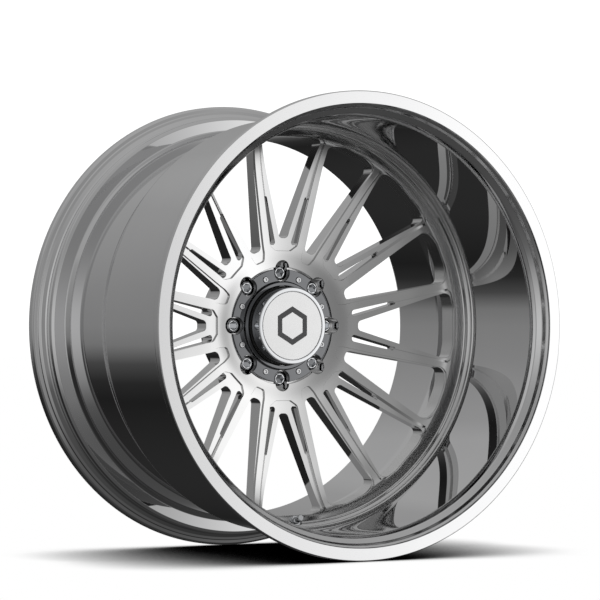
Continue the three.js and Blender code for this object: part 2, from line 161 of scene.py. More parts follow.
def loft(name, rings):
    """A closed solid through rings of equally many points, with flat ends."""
    count = len(rings[0])
    points = [p for ring in rings for p in ring]
    faces = [tuple(range(count))]
    for level in range(len(rings) - 1):
        low, high = level * count, (level + 1) * count
        for i in range(count):
            j = (i + 1) % count
            faces.append((low + j, low + i, high + i, high + j))
    last = (len(rings) - 1) * count
    faces.append(tuple(last + i for i in reversed(range(count))))
    return facing_out(mesh_of(name, points, faces=faces))


# ---- geometry node trees ------------------------------------------------------------------
def new_tree(name, inputs):
    tree = bpy.data.node_groups.new(name, "GeometryNodeTree")
    for label, kind in inputs:
        tree.interface.new_socket(label, in_out="INPUT", socket_type="NodeSocket" + kind)
    tree.interface.new_socket("Geometry", in_out="OUTPUT", socket_type="NodeSocketGeometry")
    return tree, tree.nodes.new("NodeGroupInput").outputs


def close_tree(tree, geometry, material):
    """Every tree ends in real geometry with its material."""
    real = add(tree, "GeometryNodeRealizeInstances", {"Geometry": geometry})
    dressed = add(tree, "GeometryNodeSetMaterial", {
        "Geometry": real.outputs[0], "Material": material})
    add(tree, "NodeGroupOutput", {"Geometry": dressed.outputs[0]})
    return tree


def turning_tree():
    """Sweeps a section round the wheel's axis."""
    tree, given = new_tree("turned about the axle", [
        ("Section", "Geometry"), ("Segments", "Int"), ("Mean Radius", "Float"),
        ("Material", "Material")])
    circle = add(tree, "GeometryNodeCurvePrimitiveCircle", {
        "Resolution": given["Segments"], "Radius": given["Mean Radius"]})
    wire = add(tree, "GeometryNodeMeshToCurve", {"Mesh": given["Section"]})
    swept = add(tree, "GeometryNodeCurveToMesh", {
        "Curve": circle.outputs[0], "Profile Curve": wire.outputs[0]})
    laid = add(tree, "GeometryNodeTransform", {
        "Geometry": swept.outputs[0], "Rotation": (-math.pi / 2, 0, 0)})
    welded = add(tree, "GeometryNodeMergeByDistance", {
        "Geometry": laid.outputs[0], "Distance": 1e-6})
    return close_tree(tree, welded.outputs[0], given["Material"])


def repeating_tree():
    """Sets copies of one item evenly round the wheel's axis."""
    tree, given = new_tree("repeated about the axle", [
        ("Item", "Geometry"), ("Count", "Int"), ("First Angle", "Float"),
        ("Material", "Material")])
    points = add(tree, "GeometryNodePoints", {"Count": given["Count"]})
    index = add(tree, "GeometryNodeInputIndex")
    pitch = add(tree, "ShaderNodeMath", {0: 2 * math.pi, 1: given["Count"]}, operation="DIVIDE")
    turn = add(tree, "ShaderNodeMath", {
        0: index.outputs[0], 1: pitch.outputs[0], 2: given["First Angle"]},
        operation="MULTIPLY_ADD")
    angle = add(tree, "ShaderNodeCombineXYZ", {"Y": turn.outputs[0]})
    copies = add(tree, "GeometryNodeInstanceOnPoints", {
        "Points": points.outputs[0], "Instance": given["Item"], "Rotation": angle.outputs[0]})
    return close_tree(tree, copies.outputs[0], given["Material"])


TURNING = turning_tree()
REPEATING = repeating_tree()


def cutting_tree(name, cutters, shallow=()):
    """Cuts families of pockets, each repeated round the axis, out of a body. A shallow family
    is first trimmed to the space above its own floor."""
    inputs = [("Body", "Geometry"), ("Count", "Int")]
    inputs += [(label, "Object") for label in cutters]
    inputs += [(label + " turn", "Float") for label in cutters]
    inputs += [(label + " space", "Object") for label in shallow]
    inputs.append(("Material", "Material"))
    tree, given = new_tree(name, inputs)
    body = given["Body"]
    for label in cutters:
        item = add(tree, "GeometryNodeObjectInfo", {"Object": given[label]})
        copies = add(tree, "GeometryNodeGroup", node_tree=REPEATING)
        tree.links.new(item.outputs["Geometry"], copies.inputs["Item"])
        tree.links.new(given["Count"], copies.inputs["Count"])
        tree.links.new(given[label + " turn"], copies.inputs["First Angle"])
        tool = copies.outputs[0]
        if label in shallow:
            space = add(tree, "GeometryNodeObjectInfo", {"Object": given[label + " space"]})
            trimmed = add(tree, "GeometryNodeMeshBoolean", operation="INTERSECT", solver="MANIFOLD")
            tree.links.new(tool, trimmed.inputs["Mesh 2"])
            tree.links.new(space.outputs["Geometry"], trimmed.inputs["Mesh 2"])
            tool = trimmed.outputs[0]
        cut = add(tree, "GeometryNodeMeshBoolean", {"Mesh 1": body, "Mesh 2": tool},
                  operation="DIFFERENCE", solver="MANIFOLD")
        body = cut.outputs[0]
    return close_tree(tree, body, given["Material"])


def evaluated_mesh(piece, **options):
    """What the piece's modifiers make of its mesh, after which they are removed."""
    bpy.context.view_layer.update()
    depsgraph = bpy.context.evaluated_depsgraph_get()
    made = bpy.data.meshes.new_from_object(piece.evaluated_get(depsgraph), **options)
    made.name = piece.name
    piece.modifiers.clear()
    return made


def grown(name, tree, mesh, values):
    """Runs a tree on a mesh and keeps what it makes as a plain mesh object."""
    piece = bpy.data.objects.new(name, mesh)
    scene.collection.objects.link(piece)
    modifier = piece.modifiers.new(tree.name, "NODES")
    modifier.node_group = tree
    for socket in tree.interface.items_tree:
        if socket.in_out == "INPUT" and socket.name in values:
            modifier[socket.identifier] = values[socket.name]
    piece.data = facing_out(evaluated_mesh(piece))
    return piece


def discard(*pieces):
    for piece in pieces:
        bpy.data.objects.remove(piece)


def turned(name, outline, material, segments=192, closed=True):
    radii = [point[0] for point in outline]
    mean = (min(radii) + max(radii)) / 2
    wire = section(name, outline, mean, closed)
    return grown(name, TURNING, wire, {
        "Segments": segments, "Mean Radius": mean * MM, "Material": material})


def repeated(name, item, count, first_angle, material):
    mesh = item.data.copy()
    discard(item)
    return grown(name, REPEATING, mesh, {
        "Count": count, "First Angle": first_angle, "Material": material})


def smoothed(piece):
    """Closes seams, turns faces outwards, and shades flats flat and fillets round."""
    edit = bmesh.new()
    edit.from_mesh(piece.data)
    bmesh.ops.remove_doubles(edit, verts=edit.verts, dist=2e-7)
    bmesh.ops.dissolve_degenerate(edit, edges=edit.edges, dist=2e-7)
    bmesh.ops.recalc_face_normals(edit, faces=edit.faces)
    for face in edit.faces:
        face.smooth = True
    for edge in edit.edges:
        edge.smooth = len(edge.link_faces) == 2 and edge.calc_face_angle(0) < SHARP
    edit.to_mesh(piece.data)
    edit.free()
    weighted = piece.modifiers.new("weighted", "WEIGHTED_NORMAL")
    weighted.mode = "FACE_AREA"
    weighted.keep_sharp = True
    piece.data = evaluated_mesh(piece, preserve_all_data_layers=True,
                                depsgraph=bpy.context.evaluated_depsgraph_get())
    return piece


def settle(piece, nodes, body="wheel"):
    """Puts a finished piece in place of its CAD nodes, on its body."""
    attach(piece, body)
    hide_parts(*nodes)
    return piece


# ---- materials --------------------------------------------------------------------------
def new_material(name):
    material = bpy.data.materials.new(name)
    material.use_nodes = True
    tree = material.node_tree
    tree.nodes.clear()
    shader = add(tree, "ShaderNodeBsdfPrincipled")
    add(tree, "ShaderNodeOutputMaterial", {"Surface": shader.outputs[0]})
    return material, tree, shader


def turned_place(tree):
    """Where a point lies on a turned piece: its radius and its place along the axle."""
    place = add(tree, "ShaderNodeTexCoord").outputs["Object"]
    split = add(tree, "ShaderNodeSeparateXYZ", {0: place})
    across = add(tree, "ShaderNodeCombineXYZ", {"X": split.outputs["X"], "Y": split.outputs["Z"]})
    radius = add(tree, "ShaderNodeVectorMath", {0: across.outputs[0]}, operation="LENGTH")
    return add(tree, "ShaderNodeCombineXYZ", {
        "X": radius.outputs["Value"], "Y": split.outputs["Y"]}).outputs[0]


def two_tones(tree, shader, place, colours, patch, detail):
    """Two close tones, in patches this many millimetres across, as the base colour."""
    tone = add(tree, "ShaderNodeTexNoise", {
        "Vector": place, "Scale": 1000 / patch, "Detail": detail}).outputs[0]
    shades = add(tree, "ShaderNodeMix", {"Factor": tone}, data_type="RGBA")
    shades.inputs["A"].default_value = linear(colours[0])
    shades.inputs["B"].default_value = linear(colours[1])
    tree.links.new(shades.outputs["Result"], shader.inputs["Base Color"])
    return tone


def fine_relief(tree, shader, place, strength, pitch, height, roughness=0.5):
    """The finest marks of a surface, with their spacing and height in millimetres."""
    marks = add(tree, "ShaderNodeTexNoise", {
        "Vector": place, "Scale": 1000 / pitch, "Detail": 2.0, "Roughness": roughness})
    bump = add(tree, "ShaderNodeBump", {
        "Height": marks.outputs[0], "Strength": strength, "Distance": height * MM})
    tree.links.new(bump.outputs[0], shader.inputs["Normal"])


def metal(name, colours, roughness, handling, relief=None, softer=None):
    """A bare polished metal: a clean reflection, with faint handling marks a few centimetres
    across in its gloss. Relief is the strength, spacing and height of the finest marks. A
    softer band, which the buffing wheel reaches less, has an axis of turned_place, a start,
    an end and the roughness that it adds."""
    material, tree, shader = new_material(name)
    shader.inputs["Metallic"].default_value = 1.0
    place = add(tree, "ShaderNodeTexCoord").outputs["Object"]
    haze = add(tree, "ShaderNodeTexNoise", {
        "Vector": place, "Scale": 1000 / 45, "Detail": 3.0, "Roughness": 0.55})
    gloss = add(tree, "ShaderNodeMapRange", {
        "Value": haze.outputs[0], "From Min": 0.3, "From Max": 0.7,
        "To Min": roughness, "To Max": roughness + handling}).outputs[0]
    if softer:
        axis, start, end, more = softer
        along = add(tree, "ShaderNodeSeparateXYZ", {0: turned_place(tree)}).outputs[axis]
        band = add(tree, "ShaderNodeMapRange", {
            "Value": along, "From Min": start * MM, "From Max": end * MM, "To Max": more})
        gloss = add(tree, "ShaderNodeMath", {
            0: gloss, 1: band.outputs[0]}, operation="ADD").outputs[0]
    tree.links.new(gloss, shader.inputs["Roughness"])
    two_tones(tree, shader, place, colours, patch=120, detail=2.0)
    if relief:
        fine_relief(tree, shader, place, *relief, roughness=0.6)
    return material


# A 6061 forging, machined on a lathe and polished to a mirror. The wheel reaches the front
# lip's inner edge less well, so that one is a little softer.
BARREL_METAL = metal("mirror polished forged aluminium", ("#D6D6D7", "#DCDCDC"), 0.016, 0.010,
                     softer=("Y", 26 - HALF_WIDTH, 16 - HALF_WIDTH, 0.06))
# The same forging, milled and polished by hand: softer than the barrel, most of all where
# the face turns down into the outer ring.
CENTRE_METAL = metal("hand polished milled aluminium", ("#D6D6D7", "#DDDDDC"), 0.045, 0.02,
                     softer=("X", 284, 288, 0.12))
# Decorative chrome over nickel: a little bluer than aluminium, and almost without haze.
CHROME = metal("decorative chrome plate", ("#D4D6D8", "#DADBDD"), 0.025, 0.02, (0.02, 2.0, 0.02))
# Smoked chrome on the clamping ring: the same mirror, two stops darker.
SMOKED = metal("smoked chrome plate", ("#6C6D6F", "#757678"), 0.03, 0.02, (0.02, 2.0, 0.02))
# Silver plate with a satin grain 0.4 mm long, which spreads the light into an even white.
BADGE_SILVER = metal("satin silver plate", ("#EDEDED", "#F1F1F1"), 0.27, 0.02, (0.12, 0.4, 0.02))
# Bright zinc on the small screws: a white, slightly hazy plating.
ZINC = metal("bright zinc plate", ("#E4E5E6", "#EDEDEE"), 0.26, 0.08, (0.1, 0.5, 0.02))
# Drawn spring wire and turned brass, both small and mostly hidden.
SPRING_STEEL = metal("drawn spring steel", ("#A9A9A8", "#B5B5B4"), 0.3, 0.1, (0.1, 0.1, 0.01))
VALVE_BRASS = metal("turned valve brass", ("#B89A58", "#C4A765"), 0.22, 0.1, (0.1, 0.15, 0.01))


def plain_surface(name, colours, roughness, grain, grain_height, coat=0.0):
    """A moulded or enamelled surface: two close tones and a fine even grain."""
    material, tree, shader = new_material(name)
    place = add(tree, "ShaderNodeTexCoord").outputs["Object"]
    tone = two_tones(tree, shader, place, colours, patch=12, detail=3.0)
    gloss = add(tree, "ShaderNodeMapRange", {
        "Value": tone, "To Min": roughness - 0.06, "To Max": roughness + 0.06})
    tree.links.new(gloss.outputs[0], shader.inputs["Roughness"])
    fine_relief(tree, shader, place, 0.3, grain, grain_height)
    shader.inputs["Coat Weight"].default_value = coat
    return material


# Nitrile rubber as it leaves the mould: near black, a soft sheen and a 0.4 mm grain.
RUBBER = plain_surface("moulded nitrile rubber", ("#141414", "#1D1D1C"), 0.62, 0.4, 0.05)
# Stoved enamel in the badge's recess: deep grey under a thin clear coat.
ENAMEL = plain_surface("stoved dark enamel", ("#2E2E30", "#363638"), 0.34, 0.3, 0.01, coat=0.5)


# ---- barrel -------------------------------------------------------------------------------
def barrel_outline():
    """The barrel's section as (radius, depth, fillet): from the front lip over the bead seats
    and the drop centre to the rear flange, then back along the inside."""
    return rounded([
        (331.0, 0, 0.5), (348.8, 0, 0.8), (350, 1.2, 0.8), (350, 10.6, 1.2), (348, 12.8, 1.4),
        (338, 14.2, 4), (332.6, 21, 4), (331.2, 43, 2), (332.4, 47, 2), (330.6, 51.6, 3),
        (319.5, 62, 6), (319.5, 228, 14), (305, 266, 14), (305, 376, 5), (309.6, 384.4, 2.6),
        (327, 385.6, 2), (331.2, 388.4, 1.5), (331.8, 392, 0.8), (330.4, 394, 0.8),
        (330.4, 397, 0.8), (332.2, 399, 0.8), (332.3, 401, 0.6), (331.2, 402.4, 0.6),
        (331.2, 404.4, 0.6), (332.9, 406.6, 1), (337.4, 410.8, 2), (341, 412.2, 0.8),
        (342.2, 414.2, 0.8), (346.6, 415.6, 0.8), (348.6, 417.6, 1),
        (350, 420, 2), (350, 428.6, 0.8), (348.8, 430, 0.8), (328.5, 430, 1), (326, 427, 2),
        (324.6, 402, 6), (318, 393, 6), (303, 389.6, 4), (297.5, 379, 6), (297.5, 269, 14),
        (312.5, 231.5, 14), (312.5, 25, 14), (317, 17.6, 6), (324.6, 12, 3), (326.8, 5.2, 3),
        (330.0, 2.6, 1),
    ], 4)


def make_barrel():
    return turned("barrel", barrel_outline(), BARREL_METAL, 416)


# ---- wheel centre ---------------------------------------------------------------------------
# The dished face as [radius, depth], from the hub to where the ring's beads begin.
FACE = [
    (88, HUB_RING_SEAT), (97, 250), (114, 247.4), (137, 244.8), (166, 241.3), (206, 236.2),
    (247, 230.4), (268, 226.0), (280, 222.4), (288, 218.4), (294, 212.4), (300.5, 200),
]


def smooth_curve(knots):
    """A monotone cubic through the knots."""
    x = np.array([k[0] for k in knots], float)
    y = np.array([k[1] for k in knots], float)
    step, slope = np.diff(x), np.diff(y) / np.diff(x)
    tangent = np.concatenate([[slope[0]], np.zeros(len(x) - 2), [slope[-1]]])
    for i in range(1, len(x) - 1):
        if slope[i - 1] * slope[i] > 0:
            a, b = 2 * step[i] + step[i - 1], step[i] + 2 * step[i - 1]
            tangent[i] = (a + b) / (a / slope[i - 1] + b / slope[i])

    def value(at):
        i = int(np.clip(np.searchsorted(x, at) - 1, 0, len(step) - 1))
        t, h = (at - x[i]) / step[i], step[i]
        if t < 0 or t > 1:
            edge = 0 if t < 0 else -1
            return y[edge] + tangent[edge] * (at - x[edge])
        return ((1 + 2 * t) * (1 - t) ** 2 * y[i] + t * (1 - t) ** 2 * h * tangent[i]
                + t * t * (3 - 2 * t) * y[i + 1] + t * t * (t - 1) * h * tangent[i + 1])
    return value


face_depth = smooth_curve(FACE)
FACE_RADII = [
    88, 91, 94, 97, 100, 104, 108, 112, 116, 120, 126, 132, 138, 146, 154, 162, 172, 182, 194, 206,
    218, 230, 240, 248, 255, 261, 266, 270, 273, 276, 279, 281, 283, 285, 287, 289, 291, 293, 295,
    297, 299, 300.5]


def back_depth(radius):
    """The spokes' straight back, and the flat backs of the hub and the outer ring."""
    if radius <= 130:
        return 279.0
    return 279 - 32 * min(1.0, (radius - 130) / 163)


def bead(along, middle, half_width, height):
    """How high one turned bead stands, or how deep a groove lies, at a place along the ring."""
    share = (along - middle) / half_width
    return height * math.cos(math.pi / 2 * share) ** 2 if abs(share) < 1 else 0.0


def ring_beads():
    """The turned beads and grooves between the face and the inside of the lip."""
    start, end = Vector(FACE[-1]), Vector((312.2, 179.0))
    length = (end - start).length
    run = (end - start) / length
    proud = Vector((run.y, -run.x))
    points = []
    steps = 48
    for k in range(1, steps + 1):
        along = length * k / steps
        lift = (bead(along, 4.0, 1.8, -0.9) + bead(along, 9.6, 4.2, 1.3)
                + bead(along, 14.6, 1.4, -0.9) + bead(along, 18.0, 1.9, 0.8))
        points.append(start + run * along + proud * lift)
    return points


def centre_profile():
    """The centre's section before it is milled: face, ring, back and hub."""
    front = [Vector((r, face_depth(r))) for r in FACE_RADII]
    back = rounded([
        (312.2, 200, 0), (312.2, 230.4, 1), (306, 247, 2), (293, 247, 0), (130, 279, 12),
        (118, 282, 6), (112, 292, 4), (110, HUB_PAD, 0.8), (HUB_BORE, HUB_PAD, 1),
    ], 4, closed=False)
    return [Vector((HUB_BORE, HUB_RING_SEAT))] + front + ring_beads() + back


def offset_outline(points, distance, weights=None):
    """The outline moved outwards by a distance, corner by corner."""
    count = len(points)
    area = sum(points[i - 1].x * points[i].y - points[i].x * points[i - 1].y for i in range(count))
    side = 1 if area > 0 else -1
    moved = []
    for i, point in enumerate(points):
        before = (point - points[i - 1]).normalized()
        after = (points[(i + 1) % count] - point).normalized()
        bisector = before + after
        outward = Vector((bisector.y, -bisector.x)).normalized() * side
        reach = distance / max(0.5, math.sqrt(max(0.0, (1 + before.dot(after)) / 2)))
        moved.append(point + outward * reach * (weights[i] if weights else 1.0))
    return moved


def in_space(points, depth_of):
    """Flat (x, z) points laid at the depth that belongs to their radius."""
    return [(p.x * MM, (depth_of(p.length) - HALF_WIDTH) * MM, p.y * MM) for p in points]


def pocket_tool(name, outline, soft, below=0.0, through=True, weights=None, floor=264.0):
    """What a milling cutter sweeps: straight walls, and edges softened by a small radius
    that follows the dished face, or the floor that lies below it."""
    rings = []
    back_soft = 0.8
    if through:
        flared = offset_outline(outline, back_soft)
        rings.append(in_space(flared, lambda r: BEHIND))
        rings.append(in_space(flared, back_depth))
        rings.append(in_space(outline, lambda r: back_depth(r) - back_soft))
    else:
        rings.append(in_space(outline, lambda r: floor))
    steps = 4
    for k in range(steps + 1):
        angle = math.pi / 2 * k / steps
        grown_outline = offset_outline(outline, soft * (1 - math.cos(angle)), weights)
        sink = below + soft * (1 - math.sin(angle))
        rings.append(in_space(grown_outline, lambda r: face_depth(max(r, FACE[0][0])) + sink))
    rings.append(in_space(grown_outline, lambda r: IN_FRONT))
    mesh = loft(name, rings)
    tool = bpy.data.objects.new(name, mesh)
    scene.collection.objects.link(tool)
    return tool


# Half widths, at a height z, of the pair of ribs beside a pocket: the full-height ribs' outer
# and inner edges, and those of the low ribs between them.
def rib_outer(z):
    return 35.3 + 0.196 * (z - 120)


def rib_inner(z):
    return 24.4 + 0.222 * (z - 128)


def low_rib_outer(z):
    return 13.2 + 0.304 * (z - 128)


def low_rib_inner(z):
    return 15.5 + 0.3 * (z - 160)


def mirrored(half):
    """A closed run of (x, z, fillet) corners from its right half."""
    return half + [(-x, z, r) for x, z, r in reversed(half)]


def narrow_edge(z, inset):
    """A rib's outer edge, seen along the line halfway between two pockets."""
    x = rib_outer(z) + inset
    return (z * math.sin(HALF_STEP) - x * math.cos(HALF_STEP),
            x * math.sin(HALF_STEP) + z * math.cos(HALF_STEP))


def space_above(name, below):
    """Everything in front of the face moved inboard by some depth."""
    outline = [Vector((r, face_depth(r) + below)) for r in FACE_RADII]
    outline += [Vector((FACE_RADII[-1], 160)), Vector((FACE_RADII[0], 160))]
    return turned(name, outline, CENTRE_METAL, 240)


def disc(radius, x=0.0, z=0.0, count=48):
    turns = [2 * math.pi * k / count for k in range(count)]
    return [Vector((x + radius * math.cos(t), z + radius * math.sin(t))) for t in turns]


def slot(radius, near, far, count=24):
    """A round-ended slot that runs along Z."""
    turns = [math.pi * k / count for k in range(count + 1)]
    ends = [Vector((radius * math.cos(t), far + radius * math.sin(t))) for t in turns]
    return ends + [Vector((-radius * math.cos(t), near - radius * math.sin(t))) for t in turns]


def cutter(name, levels):
    """A cutter through outlines, each with the depth that it lies at."""
    rings = [in_space(outline, lambda r: depth) for outline, depth in levels]
    tool = bpy.data.objects.new(name, loft(name, rings))
    scene.collection.objects.link(tool)
    return tool


def drill(name, levels, x=0.0, z=0.0, count=48):
    """A round stepped cutter, from [radius, depth] levels."""
    return cutter(name, [(disc(radius, x, z, count), depth) for radius, depth in levels])


def hub_tools():
    """The recess for the lug ring, and the lug nuts' deep bores with their conical seats."""
    edge = 0.9
    turns = [math.pi / 8 * k for k in range(5)]
    soft = [(91 + edge * (1 - math.cos(t)), 250.8 + edge * (1 - math.sin(t))) for t in turns]
    recess = drill("hub recess", [(91, 257.5), *soft, (91 + edge, 180)], count=144)
    bore = drill("lug bore", [(7.8, 330), (7.8, 301), (LUG_BORE, 296), (LUG_BORE, 272)],
                 z=LUG_CIRCLE)
    lobe = pocket_tool("lug lobe", slot(LUG_BORE, LUG_CIRCLE, LOBE_CIRCLE), edge,
                       through=False, floor=273)
    tapped = drill("tapped hole", [(2.7, 272), (2.7, 240)], z=SCREW_CIRCLE, count=24)
    relief_outline = rounded(mirrored([(9, 72, 4), (17, 101, 6)]), 4)
    relief = cutter("back relief", [(relief_outline, 330), (relief_outline, 288)])
    return recess, bore, lobe, tapped, relief


def valve_turned(name, outline, material, segments=48, closed=True):
    """A piece turned about the valve's own axis, which is tilted from the wheel's."""
    shifted = [(point[0], point[1] + HALF_WIDTH) for point in outline]
    piece = turned(name, shifted, material, segments, closed)
    place_on_valve(piece)
    return piece


def place_on_valve(piece):
    place = Matrix.Translation(Vector(VALVE_ORIGIN) * MM) @ Matrix.Rotation(-VALVE_TILT, 4, "X")
    piece.data.transform(place)


def valve_hole_tool():
    """The valve's hole, with a flat seat milled square to it on either side."""
    return valve_turned("valve hole", [
        (0, -60), (9.9, -60), (9.9, 0), (5.65, 0), (5.65, INNER_SEAT), (10, INNER_SEAT), (10, 60),
        (0, 60)], CENTRE_METAL, closed=False)


def make_centre():
    """The turned centre with its pockets, windows, grooves and hub bores milled out."""
    body = turned("centre body", centre_profile(), CENTRE_METAL, 240)
    wide = rounded(mirrored([
        (6.8, 136.4, 6.4), (low_rib_inner(287), 287, 8), (28, 292.6, 60)]), 8)
    pocket = rounded(mirrored([
        (13, 116.4, 3), (24.2, 124, 8), (rib_inner(287), 287, 9), (30, 292.4, 60)]), 8)
    ledge = rounded(mirrored([
        (7.4, 104.4, 5), (*narrow_edge(112, 0), 6), (*narrow_edge(281, 0), 11),
        (24, 292.6, 60)]), 8)
    narrow = rounded(mirrored([
        (*narrow_edge(116, 4.6), 8.2), (*narrow_edge(279, 1), 10), (22, 292.4, 60)]), 8)
    tools = {
        "wide window": (pocket_tool("wide window", wide, 0.5, FLOOR_STEP), 0.0),
        "narrow window": (pocket_tool("narrow window", narrow, 0.5, FLOOR_STEP), HALF_STEP),
    }
    for label, side in (("left slot", -1), ("right slot", 1)):
        corners = [(low_rib_outer(128), 125.4, 4.2), (rib_inner(128), 125.4, 5),
                   (rib_inner(198), 200, 2.4), (low_rib_outer(198), 200, 2.2)]
        outline = rounded([(x * side, z, r) for x, z, r in corners], 6)
        middle = [(low_rib_outer(p.y) + rib_inner(p.y)) / 2 for p in outline]
        weights = [1.0 if abs(p.x) < m else 0.0 for p, m in zip(outline, middle)]
        tools[label] = (pocket_tool(label, outline, 0.4, FLOOR_STEP, weights=weights), 0.0)
    tools["pocket"] = (pocket_tool("pocket", pocket, 0.7, 0, through=False), 0.0)
    tools["ledge"] = (pocket_tool("ledge", ledge, 0.7, 0, through=False), HALF_STEP)
    for label, side in (("left groove", -1), ("right groove", 1)):
        corners = [(rib_inner(z) - inset, z) for z, inset in (
            (196, GROOVE_WIDTH), (196, 0), (284, 0), (284, GROOVE_WIDTH))]
        outline = [Vector((x * side, z)) for x, z in corners]
        tools[label] = (pocket_tool(label, outline, 0.0, 0, through=False), 0.0)
    recess, bore, lobe, tapped, relief = hub_tools()
    tools["lug bore"] = (bore, 0.0)
    tools["lug lobe"] = (lobe, 0.0)
    tools["tapped hole"] = (tapped, HALF_STEP)
    tools["back relief"] = (relief, HALF_STEP)
    above_floor = space_above("above floor", FLOOR_STEP)
    above_groove = space_above("above groove", GROOVE_DEPTH)
    shallow = {"pocket": above_floor, "ledge": above_floor,
               "left groove": above_groove, "right groove": above_groove}
    tree = cutting_tree("milled wheel centre", list(tools), list(shallow))
    values = {"Count": POCKETS, "Material": CENTRE_METAL}
    for label, (tool, turn) in tools.items():
        values[label] = tool
        values[label + " turn"] = turn
    for label, space in shallow.items():
        values[label + " space"] = space
    mesh = body.data.copy()
    discard(body)
    centre = grown("centre", tree, mesh, values)
    single = cutting_tree("single cuts", ["recess", "valve hole"])
    hole = valve_hole_tool()
    mesh = centre.data.copy()
    discard(centre)
    centre = grown("centre", single, mesh, {
        "Count": 1, "recess": recess, "valve hole": hole, "Material": CENTRE_METAL})
    discard(recess, hole, above_floor, above_groove, *[tool for tool, turn in tools.values()])
    return centre


def turned_surface(lines):
    """The stretches of a turned surface's section, each with its ends and the normals there.
    A line is a run of (radius, depth) points. Stretches that meet at a slight bend share a
    normal, which leans to the longer one."""
    starts, ends, first, last = [], [], [], []
    for line in lines:
        points = np.array([(point[0], point[1]) for point in line], float)
        distinct = np.linalg.norm(np.diff(points, axis=0), axis=1) > 1e-4
        points = points[np.append(distinct, True)]
        run = np.diff(points, axis=0)
        length = np.linalg.norm(run, axis=1)[:, None]
        square = np.stack([run[:, 1], -run[:, 0]], axis=1) / length
        bend = (square[:-1] * square[1:]).sum(axis=1)
        soft = np.concatenate([[True], bend > math.cos(math.radians(25)), [True]])
        weighed = square * length ** 2
        joint = np.concatenate([square[:1], weighed[:-1] + weighed[1:], square[-1:]])
        joint /= np.maximum(np.linalg.norm(joint, axis=1), 1e-6)[:, None]
        starts.append(points[:-1])
        ends.append(points[1:])
        first.append(np.where(soft[:-1, None], joint[:-1], square))
        last.append(np.where(soft[1:, None], joint[1:], square))
    return [np.concatenate(part) for part in (starts, ends, first, last)]


def nearest_stretches(spots, starts, ends):
    """The two stretches nearest to each (radius, depth), how far along each the spot lies, and
    how far off. Spots are taken in batches, to save memory."""
    run = ends - starts
    batch = 8000
    found = []
    for low in range(0, len(spots), batch):
        off = spots[low:low + batch, None] - starts
        share = np.clip((off * run).sum(axis=2) / (run * run).sum(axis=1), 0, 1)
        gap = np.hypot(*np.moveaxis(off - share[..., None] * run, 2, 0))
        two = np.argpartition(gap, 2, axis=1)[:, :2]
        found.append((two, np.take_along_axis(share, two, axis=1),
                      np.take_along_axis(gap, two, axis=1)))
    return [np.concatenate(part) for part in zip(*found)]


def values_of(items, attribute, kind, width=1):
    """One attribute of a mesh's corners, faces or points, as an array."""
    values = np.empty(len(items) * width, kind)
    items.foreach_get(attribute, values)
    return values.reshape(-1, width) if width > 1 else values


def turned_normals(piece, lines):
    """Gives every corner on a turned surface that surface's true normal, so that the cuts
    across it leave no dents in its reflection."""
    tolerance = 0.08        # millimetres between a corner and the surface
    least = math.cos(math.radians(14))      # between a face and the surface
    starts, ends, first, last = turned_surface(lines)
    mesh = piece.data
    places = values_of(mesh.vertices, "co", float, 3)
    radius = np.maximum(np.hypot(places[:, 0], places[:, 2]), 1e-9)
    spots = np.stack([radius / MM, places[:, 1] / MM + HALF_WIDTH], axis=1)
    near, along, gaps = nearest_stretches(spots, starts, ends)
    true = first[near] * (1 - along[..., None]) + last[near] * along[..., None]
    true /= np.linalg.norm(true, axis=2)[..., None]
    corner = values_of(mesh.loops, "vertex_index", int)
    normals = values_of(mesh.corner_normals, "vector", float, 3)
    flat = np.repeat(values_of(mesh.polygons, "normal", float, 3),
                     values_of(mesh.polygons, "loop_total", int), axis=0)
    out = (places[:, [0, 2]] / radius[:, None])[corner]
    facing = np.stack([(flat[:, [0, 2]] * out).sum(axis=1), flat[:, 1]], axis=1)
    match = (true[corner] * facing[:, None]).sum(axis=2)
    score = np.where(gaps[corner] < tolerance, np.abs(match), 0)
    best = score.argmax(axis=1)
    rows = np.arange(len(best))
    chosen = true[corner, best] * np.sign(match[rows, best])[:, None]
    solid = np.stack([chosen[:, 0] * out[:, 0], chosen[:, 1], chosen[:, 0] * out[:, 1]], axis=1)
    good = score[rows, best] > least
    normals[good] = solid[good]
    mesh.normals_split_custom_set(normals.tolist())
    return piece


barrel = turned_normals(smoothed(make_barrel()), [barrel_outline() + barrel_outline()[:1]])
settle(barrel, ["rim_barrel"])
floors = [[(r, face_depth(r) + below) for r in FACE_RADII] for below in (FLOOR_STEP, GROOVE_DEPTH)]
centre = turned_normals(smoothed(make_centre()), [centre_profile()] + floors)
settle(centre, ["wheel_centre"])


# ---- centre cap, lug ring and fasteners ---------------------------------------------------
def cut(piece, tools, count, material):
    """Cuts families of tools, {label: (tool, first angle)}, out of a piece."""
    tree = cutting_tree(piece.name + " cuts", list(tools))
    values = {"Count": count, "Material": material}
    for label, (tool, turn) in tools.items():
        values[label] = tool
        values[label + " turn"] = turn
    name, mesh = piece.name, piece.data.copy()
    discard(piece)
    made = grown(name, tree, mesh, values)
    discard(*[tool for tool, turn in tools.values()])
    return made


def hexagon(radius, turn=0.0):
    turns = [turn + math.pi / 3 * k for k in range(6)]
    return [Vector((radius * math.cos(t), radius * math.sin(t))) for t in turns]


